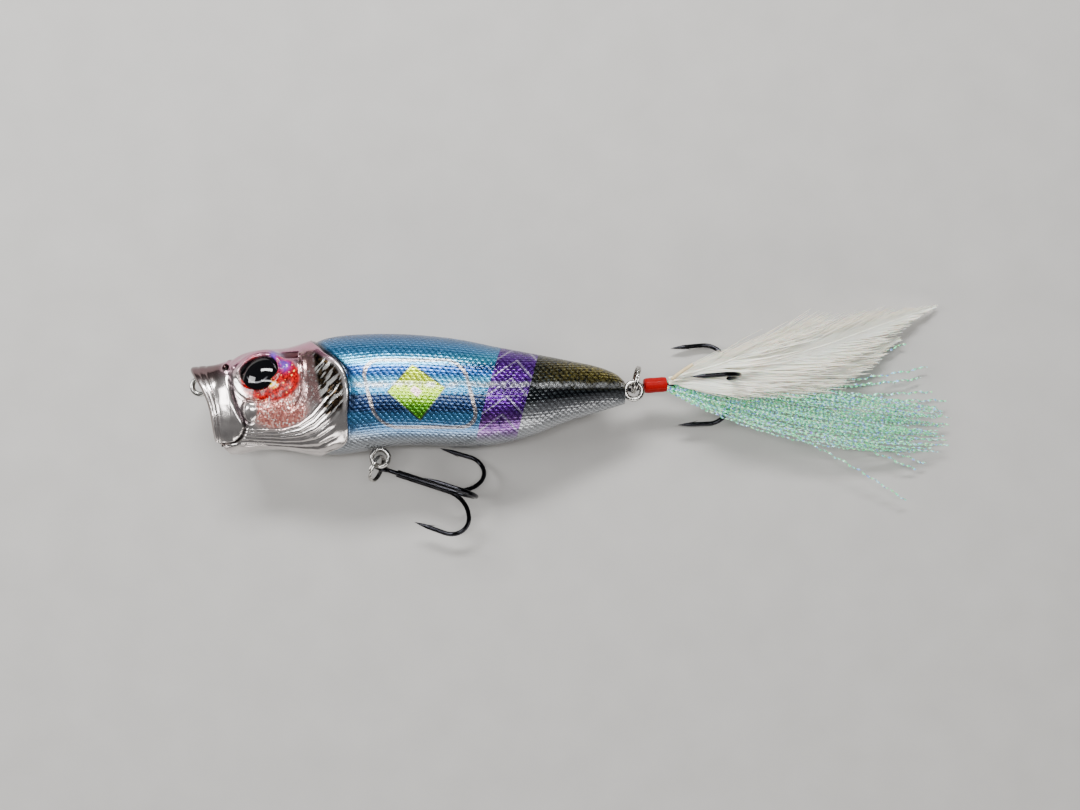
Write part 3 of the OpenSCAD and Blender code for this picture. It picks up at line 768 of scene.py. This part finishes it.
def eye_lens_material(node):
    """A glossy black dome with a painted highlight: a thin bright arc just inside its lower edge."""
    low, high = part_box(node)
    centre = (low + high) / 2
    s = Shader("eye_" + node, Coat_Weight=0.35, Coat_Roughness=0.01, Roughness=0.06, Specular_IOR_Level=0.3)
    offset = s.add("VectorMath", {0: s.where, 1: tuple(centre)}, operation="SUBTRACT")
    radius = s.add("VectorMath", {0: offset}, "Value", operation="LENGTH")
    # Painted highlight: a thin bright arc just inside the lens's edge, on its lower side only.
    ring = s.times(s.above(radius, 2.2 * MM, 0.05 * MM), s.below(radius, 2.35 * MM, 0.05 * MM))
    lower_highlight = s.below(s.part_y(offset), -1.2 * MM, 0.8 * MM)
    s.set("Base Color", s.mix(s.times(s.times(ring, lower_highlight), 0.8), srgb(6, 6, 8), srgb(170, 170, 175)))
    s.grain(0.8, 3.0, 0.01, 0.3)
    return s.material


# --- plain materials ---

def metal(name, colour, roughness, streak=0.08, size=0.25):
    """Drawn or plated wire: faint streaks, worn spots and small dents."""
    s = Shader(name, Metallic=1.0)
    s.mottle(size * 4, 4.0, [int(c * 0.82) for c in colour], colour, 0.6)
    s.set("Roughness", s.between(s.noise(size), roughness - streak, roughness + streak))
    s.grain(size, 5.0, 0.012, 0.35, 0.6)
    return s.material


def cast_lead():
    s = Shader("cast_lead", Metallic=0.85)
    s.mottle(1.1, 5.0, (84, 86, 92), (128, 130, 136))
    s.set("Roughness", s.between(s.noise(0.5), 0.45, 0.7))
    s.grain(0.4, 4.0, 0.04, 0.6)
    return s.material


def glitter_foil():
    s = Shader("glitter_foil", Metallic=0.9, Roughness=0.25)
    flakes = [(0.0, srgb(160, 10, 14)), (0.6, srgb(230, 40, 30)), (0.9, srgb(250, 200, 90))]
    s.set("Base Color", s.ramp(s.part(s.cells(0.3)), flakes, hard=True))
    s.set("Normal", s.tip(s.cells(0.3), 0.4))
    return s.material


def thread_material():
    s = Shader("lacquered_thread", Coat_Weight=0.1, Coat_Roughness=0.1, Roughness=0.5, Specular_IOR_Level=0.1)
    s.mottle(0.35, 4.0, (116, 0, 2), (172, 0, 3))
    s.grain(0.12, 4.0, 0.02, 0.5)
    return s.material


def feather_material():
    s = Shader("white_feather", Roughness=0.55, Sheen_Weight=0.4, Subsurface_Weight=0.25,
               Subsurface_Scale=0.0006)
    s.mottle(2.5, 4.0, (232, 224, 204), (255, 250, 236))
    s.grain(0.08, 3.0, 0.01, 0.5)
    return s.material


def quill_material():
    s = Shader("cream_quill", Roughness=0.4)
    s.mottle(0.6, 4.0, (196, 170, 120), (226, 208, 168))
    s.grain(0.2, 3.0, 0.02, 0.5)
    return s.material


def tinsel_material():
    """Pearl film whose colour drifts between mint, cyan, lilac and lime along each strand."""
    s = Shader("pearl_tinsel", Coat_Weight=0.6, Coat_Roughness=0.08, Metallic=0.12)
    drift = s.noise(0.55, 1.0)
    s.set("Base Color", s.ramp(drift, [
        (0.28, srgb(176, 140, 255)), (0.37, srgb(84, 216, 250)), (0.44, srgb(244, 255, 252)),
        (0.50, srgb(56, 232, 166)), (0.57, srgb(130, 250, 190)), (0.63, srgb(196, 255, 136)),
        (0.68, srgb(244, 255, 250)), (0.76, srgb(128, 150, 255))]))
    s.set("Roughness", s.between(s.noise(0.3), 0.12, 0.32))
    s.grain(0.2, 2.0, 0.03, 0.6)
    return s.material


# --- split rings ---

# Radius to the wire's middle, the wire's width, and how far inside that radius the hanger's wire lies.
SPLIT_R, SPLIT_W, SPLIT_OFF = 2.35, 0.4, 0.35
# Turns in degrees as in the CAD: a ring's about Z and X, and a hook's about Z and Y, then for its three
# limbs and its eye about X.
BELLY_RING, TAIL_RING = (-108.2, 12), (78, 0)
BELLY_HOOK, TAIL_HOOK = (-18.2, 1.2, -12, 0), (4, 3.6, -6, -30.5)


def joint_place(name):
    """A joint's place in the drawing frame."""
    return np.array(JOINTS[name]["pos_m"]) / MM - SHIFT


def split_ring(name, body, turn, material):
    """Two close turns of wire with a step where they cross and blunt tapered ends."""
    count = 240
    turns = 1.98
    a = np.linspace(0, turns * 2 * math.pi, count) + math.radians(70)
    progress = np.linspace(0, turns, count)
    lift = (ease(0.93, 1.05, progress) - 0.5) * SPLIT_W * 0.98
    path = np.stack([SPLIT_R * np.cos(a), lift, SPLIT_R * np.sin(a)], 1)
    ends = np.minimum(ease(0, 0.03, progress), ease(turns, turns - 0.03, progress))
    points, faces = tube(path, SPLIT_W / 2 * (0.45 + 0.55 * ends), 14)
    frame_turn = rotation("Z", turn[0]) @ rotation("X", turn[1])
    points = (points + [SPLIT_R - SPLIT_OFF, 0, 0]) @ frame_turn.T + joint_place(body + "_swing")
    return make_mesh(name + "_coil", points, faces, body, material, replaced=[name])


# --- treble hooks ---

# Wire radius, length, reach from the shank to the outside of a bend, and the radii of bend and eye.
HOOK_R, HOOK_L, HOOK_SPREAD, BEND_R, HOOK_EYE_R = 0.42, 18.4, 9.0, 3.45, 1.15
# How steeply a limb sweeps out, its height over the shank's middle, its straight leg and tapered point,
# and the leg's lean towards the shank. Angles are in degrees.
SWEEP_A, LIMB_Z, LEG, POINT, LEAN = 75, 0.3, 3.4, 2.5, 2
# Where the three wires begin, and where the solder that fills them ends.
NECK_END, SOLDER_END = 2.9, 13.6


def limb_path():
    """The wire's middle from the shank to the point, in the XZ plane."""
    sweep, lean = math.radians(SWEEP_A), math.radians(LEAN)
    round_x = HOOK_L - HOOK_R - BEND_R
    round_z = HOOK_SPREAD - HOOK_R - BEND_R
    sweep_r = (round_z - BEND_R * math.cos(sweep) - LIMB_Z) / (1 - math.cos(sweep))
    sweep_x = round_x + (BEND_R - sweep_r) * math.sin(sweep)
    straight = [(x, LIMB_Z) for x in np.linspace(NECK_END, sweep_x, 16, endpoint=False)]
    out = [(sweep_x + sweep_r * math.sin(a), LIMB_Z + sweep_r * (1 - math.cos(a)))
           for a in np.linspace(0, sweep, 24, endpoint=False)]
    bend = [(round_x + BEND_R * math.cos(a), round_z + BEND_R * math.sin(a))
            for a in np.linspace(sweep - math.pi / 2, math.pi / 2 + lean, 40, endpoint=False)]
    tip = np.array([round_x - BEND_R * math.sin(lean), round_z + BEND_R * math.cos(lean)])
    back = np.array([-math.cos(lean), -math.sin(lean)])
    leg = [tip + back * s for s in np.linspace(0, LEG + POINT, 36)]
    path = np.array(straight + out + bend + [tuple(p) for p in leg])
    left = np.linalg.norm(np.diff(path[::-1], axis=0), axis=1)[::-1]
    to_tip = np.append(np.cumsum(left[::-1])[::-1], 0)
    return np.stack([path[:, 0], 0 * path[:, 0], path[:, 1]], 1), to_tip


def limb(roll):
    """One bend with a needle point and a barb cut from the inside of the wire."""
    path, to_tip = limb_path()
    radii = HOOK_R * np.clip(to_tip / POINT, 0.04, 1) ** 0.75
    body = tube(path, radii, 16)
    root = path[np.argmin(np.abs(to_tip - POINT * 0.62))]
    start = path[np.argmin(np.abs(to_tip - POINT * 1.45))]
    lift = np.array([0, 0, -1.0])
    middle = root * 0.6 + start * 0.4
    barb_path = through([root + lift * 0.12, middle + lift * 0.32, start + lift * 0.72], 12)
    barb = tube(barb_path, np.linspace(0.16, 0.03, 12), 8)
    points, faces = join([body, barb])
    return points @ rotation("X", roll).T, faces


def hook_to_drawing(points, body, turn):
    """From a hook's own frame, eye at 0 and shank along X, to the drawing's."""
    whole = rotation("Z", turn[0]) @ rotation("Y", turn[1])
    return points @ whole.T + joint_place(body + "_swing")


def rod(x, radii, sides):
    """A straight tube along X."""
    return tube(np.stack([x, 0 * x, 0 * x], 1), radii, sides)


def treble(name, body, turn, material):
    """Three wires side by side along the shank, filled with solder, and an eye bent from one of them."""
    a = np.linspace(0, 2 * math.pi, 72)
    eye = np.stack([HOOK_EYE_R * np.cos(a), 0 * a, HOOK_EYE_R * np.sin(a)], 1)
    eye_wire = HOOK_R * 0.95
    eye_points, eye_faces = tube(eye, eye_wire, 16)
    eye_points = eye_points @ rotation("X", turn[3]).T
    solder_x = np.linspace(NECK_END - 0.1, SOLDER_END, 60)
    solder_r = 0.5 + 0.05 * np.sin(solder_x * 1.9) - 0.3 * ease(SOLDER_END - 1.2, SOLDER_END, solder_x)
    neck_x = np.linspace(HOOK_EYE_R, NECK_END + 0.5, 12)
    parts = [limb(turn[2] + 120 * k) for k in range(3)] + [(eye_points, eye_faces)]
    parts += [rod(solder_x, solder_r, 18), rod(neck_x, eye_wire, 16)]
    points, faces = join(parts)
    points = hook_to_drawing(points, body, turn)
    return make_mesh(name + "_wire", points, faces, body, material, replaced=[name])


# --- whipping ---

# Where the thread begins and ends along the hook, from its eye.
WHIP = (1.95, 6.15)


def whipping(material):
    """Thread wound tight round the shank: the ridge climbs one thread's width each turn."""
    thread, sides, rows = 0.2, 72, 260
    x = np.linspace(*WHIP, rows)
    f = np.linspace(0, 2 * math.pi, sides, endpoint=False)
    t = (x - WHIP[0]) / (WHIP[1] - WHIP[0])
    profile = 1.2 + 0.16 * np.sin(math.pi * t) ** 0.8 + 0.04 * np.sin(9 * t)
    profile = profile - 0.42 * (ease(0.03, 0, t) + ease(0.97, 1, t))
    turn = x[:, None] / thread - f[None] / (2 * math.pi)
    radius = profile[:, None] + 0.045 * np.abs(np.sin(math.pi * turn)) ** 0.6
    points = np.stack([np.broadcast_to(x[:, None], radius.shape), radius * np.cos(f), radius * np.sin(f)], -1)
    ends = np.array([[WHIP[0], 0, 0], [WHIP[1], 0, 0]])
    points = hook_to_drawing(np.vstack([points.reshape(-1, 3), ends]), "tail_hook", TAIL_HOOK)
    return make_mesh("tail_whipping_thread", points, closed_faces(rows, sides), "tail_hook", material,
                     replaced=["tail_whipping"])


# --- feathers and tinsel ---

# The least height of a fibre's middle over the ground.
FIBRE_GAP = 0.3
MAIN_SHAFT = [(85.6, 1.3, -1.9), (92, 2.1, -0.9), (101, 4.1, -0.6), (113, 7.5, -2.0), (124, 11.3, -4.6),
              (137.5, 15.8, -7.9)]
LOWER_SHAFT = [(85.6, 0.9, -1.6), (95, 1.0, -0.9), (105, 2.1, -1.6), (117, 4.7, -3.9), (130.1, 9.5, -7.6)]
UPPER_SHAFT = [(85.6, 1.8, -1.6), (91, 3.2, -0.6), (96.2, 4.9, 0.2), (104.9, 8.7, -0.3), (114, 12.4, -2.2)]
STRANDS = 66
# Where the strands that have strayed end.
STRAYS = [(135.2, 4.1), (131.3, 8.6), (129.0, 1.5), (138.5, -2.2), (136, -0.5), (130.9, -21),
          (132.9, -15.2), (135, -14.2), (134, 2.0)]
STRAY_W = 0.4


def ribbon(path, widths, across):
    """A thin strip: points and faces."""
    edge = across * np.asarray(widths)[:, None] / 2
    points = np.stack([path - edge, path + edge], 1).reshape(-1, 3)
    return points, grid_faces(len(path), 2).tolist()


def barb(start, heading, side, length, angle, sink):
    """One feather barb: it leaves the shaft at an angle and bends to run nearly along it."""
    t = np.linspace(0, 1, 8)
    out = side * length * math.sin(angle) * (t - 0.35 * t**2) / 0.65
    along = length * math.cos(angle * 0.7) * t
    normal = np.array([-heading[1], heading[0], 0.0])
    normal /= np.linalg.norm(normal)
    path = start + np.outer(along, heading) + np.outer(out, normal)
    path[:, 2] += sink * t**2
    width = 0.27 * (1 - 0.75 * t)
    return ribbon(path, width, np.tile(normal * 0.9 + np.array([0, 0, 0.35]) * side, (8, 1)))


def feather(node, shaft_points, reach, count, angle, material, spread=0.25):
    """A hackle: a tapering shaft with barbs down both sides. reach is a barb's length, from how far along
    the shaft it stands and its side."""
    shaft = through(shaft_points, 200)
    heading = headings(shaft)
    parts = [tube(shaft, np.linspace(0.2, 0.05, 200), 8, 1.2)]
    for side in (-1, 1):
        for k in range(count):
            t = 0.04 + 0.95 * (k + random.random()) / count
            i = min(int(t * 199), 199)
            length = reach(t, side) * random.uniform(1 - spread, 1 + spread)
            open_angle = math.radians(angle) * random.uniform(0.7, 1.3) * (1.15 - 0.5 * t)
            parts.append(barb(shaft[i], heading[i], side, length, open_angle, random.uniform(-0.9, 0.5)))
    points, faces = join(parts)
    points[:, 2] = np.maximum(points[:, 2], FLOOR_Z + FIBRE_GAP)
    return make_mesh(node + "_barbs", points, faces, "tail_hook", material, replaced=[node])


def strand(start, end, rise, wave, turns, width):
    """A crinkled strip of film, twisting as it goes."""
    count = 170
    t = np.linspace(0, 1, count)
    middle = (start * 0.55 + end * 0.45) + rise
    path = np.outer((1 - t) ** 2, start) + np.outer(2 * t * (1 - t), middle) + np.outer(t**2, end)
    phase = random.uniform(0, 6.28, 4)
    fade = ease(0, 0.25, t)
    for k, size in ((1, wave), (2, wave * 0.7)):
        slow, quick = np.sin(t * turns * 1.3 + phase[k]), np.sin(t * turns * 2.9 + phase[k + 1])
        path[:, k] += size * fade * (slow + 0.5 * quick)
    twist = t * turns * 2.2 + phase[0]
    heading = headings(path)
    level = np.cross(heading, [0, 0, 1.0])
    across = level * np.cos(twist)[:, None] + np.cross(heading, level) * np.sin(twist)[:, None]
    path[:, 2] = np.maximum(path[:, 2], FLOOR_Z + FIBRE_GAP)
    return ribbon(path, np.full(count, width), across)


def tinsel(material):
    """Strands fanned out of the whipping's end, with a few that have strayed."""
    root = hook_to_drawing(np.array([[WHIP[1] - 0.4, 0, 0]]), "tail_hook", TAIL_HOOK)[0]
    parts = []
    for k in range(STRANDS):
        t = (k + random.random()) / STRANDS
        start = root + [0, 0.5 - 1.4 * t, random.uniform(-0.7, 0.6)]
        fan = -3.0 - 8.5 * t + random.normal(0, 0.7)
        end = np.array([random.uniform(130, 139.4), fan, random.uniform(-8.3, -5.6)])
        rise = np.array([0, 2.2 - 8.4 * t + random.normal(0, 0.5), random.uniform(1.0, 5.2)])
        parts.append(strand(start, end, rise, 0.1, random.uniform(60, 100), random.uniform(0.22, 0.34)))
    for x, y in STRAYS:
        start = root + [0, random.uniform(-0.9, 0.3), random.uniform(-0.5, 0.5)]
        end = np.array([x, y, random.uniform(-8.2, -6.5)])
        rise = np.array([2.0, -0.28 * y - 2.2, 1.6])
        parts.append(strand(start, end, rise, 0.16, random.uniform(50, 80), STRAY_W))
    points, faces = join(parts)
    return make_mesh("tinsel_strands", points, faces, "tail_hook", material,
                     replaced=["tinsel_flash"])


def swell(root, growth, t):
    """Barb length along a feather: short at its root, longest in the middle."""
    return root + growth * math.sin(math.pi * min(t * 1.05, 1)) ** 0.7


def main_reach(t, side):
    return swell(6, 8.5, t) * (1 - 0.38 * t - 0.5 * t**5)


def lower_reach(t, side):
    """Thin on the belly side near the root, where the tinsel covers it."""
    thin = 1 if side > 0 else 0.35 + 0.65 * min(2.2 * t, 1)
    return swell(6, 7.5, t) * (1 - 0.4 * t - 0.4 * t**6) * thin


def upper_reach(t, side):
    return swell(4, 7.0, t) * (1 - 0.35 * t)


def quill_stub():
    """The cut end of a shaft, sticking out behind the whipping."""
    middle = through([(86, 1.6, -0.6), (87.6, 2.9, 0.3), (89.5, 4.2, 0.9)], 16)
    points, faces = tube(middle, np.linspace(0.34, 0.3, 16), 12)
    make_mesh("quill_stub", points, faces, "tail_hook", quill_material())


def dressing():
    """Three white hackles, a cut quill stub and the tinsel."""
    white = feather_material()
    feather("hackle_main", MAIN_SHAFT, main_reach, 620, 19, white)
    feather("hackle_lower", LOWER_SHAFT, lower_reach, 560, 17, white)
    feather("hackle_upper", UPPER_SHAFT, upper_reach, 84, 14, white, 0.5)
    quill_stub()
    tinsel(tinsel_material())


# --- everything else ---

def paint(node, material):
    """A carried-over CAD node takes this material."""
    mesh = frame["nodes"][node].data
    mesh.materials.clear()
    mesh.materials.append(material)


def hardware():
    bright = metal("bright_wire", (196, 194, 190), 0.22)
    steel = metal("split_ring_steel", (206, 203, 198), 0.18)
    black = metal("black_nickel", (44, 44, 48), 0.16, 0.05)
    for node in ("line_tie", "belly_hanger", "tail_hanger"):
        paint(node, bright)
    paint("rattle_ball", metal("rattle_ball_steel", (190, 190, 192), 0.12))
    lead = cast_lead()
    paint("tail_weight", lead)
    paint("keel_weight", lead)
    foil = glitter_foil()
    for side in ("left", "right"):
        paint(side + "_eye_foil", foil)
        paint(side + "_eye_lens", eye_lens_material(side + "_eye_lens"))
    split_ring("belly_split_ring", "belly_ring", BELLY_RING, steel)
    split_ring("tail_split_ring", "tail_ring", TAIL_RING, steel)
    treble("belly_treble", "belly_hook", BELLY_HOOK, black)
    treble("tail_treble", "tail_hook", TAIL_HOOK, black)
    whipping(thread_material())


def stage():
    """A plain pale floor under the lure."""
    s = Shader("pale_floor", Roughness=0.8)
    s.mottle(9, 4.0, (168, 166, 163), (181, 179, 176))
    s.grain(0.9, 4.0, 0.02, 0.3)
    half = 1.5
    mesh = bpy.data.meshes.new("floor")
    corners = [(-half, -half, 0), (half, -half, 0), (half, half, 0), (-half, half, 0)]
    mesh.from_pydata(corners, [], [(0, 1, 2, 3)])
    mesh.materials.append(s.material)
    floor = add_object("floor", mesh)
    floor.location.z = CAD_BOX[0][2] - 0.0001


def area_light(name, spot, size, power, colour=(1, 1, 1)):
    """A softbox at spot, aimed at the lure."""
    lamp = bpy.data.lights.new(name, "AREA")
    lamp.shape = "RECTANGLE"
    lamp.size, lamp.size_y = size
    lamp.energy = power
    lamp.color = colour
    holder = add_object(name, lamp)
    holder.location = spot
    holder.rotation_euler = (-Vector(spot)).to_track_quat("-Z", "Y").to_euler()


def lights():
    area_light("key", (-0.05, 0.34, 0.32), (0.30, 0.07), 3.4)
    area_light("top", (0.0, 0.05, 0.55), (0.40, 0.05), 1.7)
    area_light("nose", (-0.38, 0.06, 0.26), (0.14, 0.2), 1.3)
    area_light("low", (0.05, -0.45, 0.20), (0.5, 0.14), 1.3, (1, 0.97, 0.94))
    world = bpy.data.worlds.new("studio")
    world.use_nodes = True
    colour, strength = world.node_tree.nodes["Background"].inputs[:2]
    colour.default_value = (0.8, 0.83, 0.86, 1)
    strength.default_value = 0.085
    bpy.context.scene.world = world


def camera():
    """Straight above the lure and near it."""
    half_view, above = 96.7, 145.0
    aim = place(np.array([62.3, -3.04, 0.0]))
    data = bpy.data.cameras.new("camera")
    data.sensor_width = 36
    data.lens = data.sensor_width / 2 * above / half_view
    data.clip_start = 0.005
    holder = add_object("camera", data)
    holder.location = aim + np.array([0, 0, above * MM])
    bpy.context.scene.camera = holder


camera()
skin = body_material()
build_half("body_left", 1, skin)
build_half("body_right", -1, skin)
hardware()
dressing()
stage()
lights()
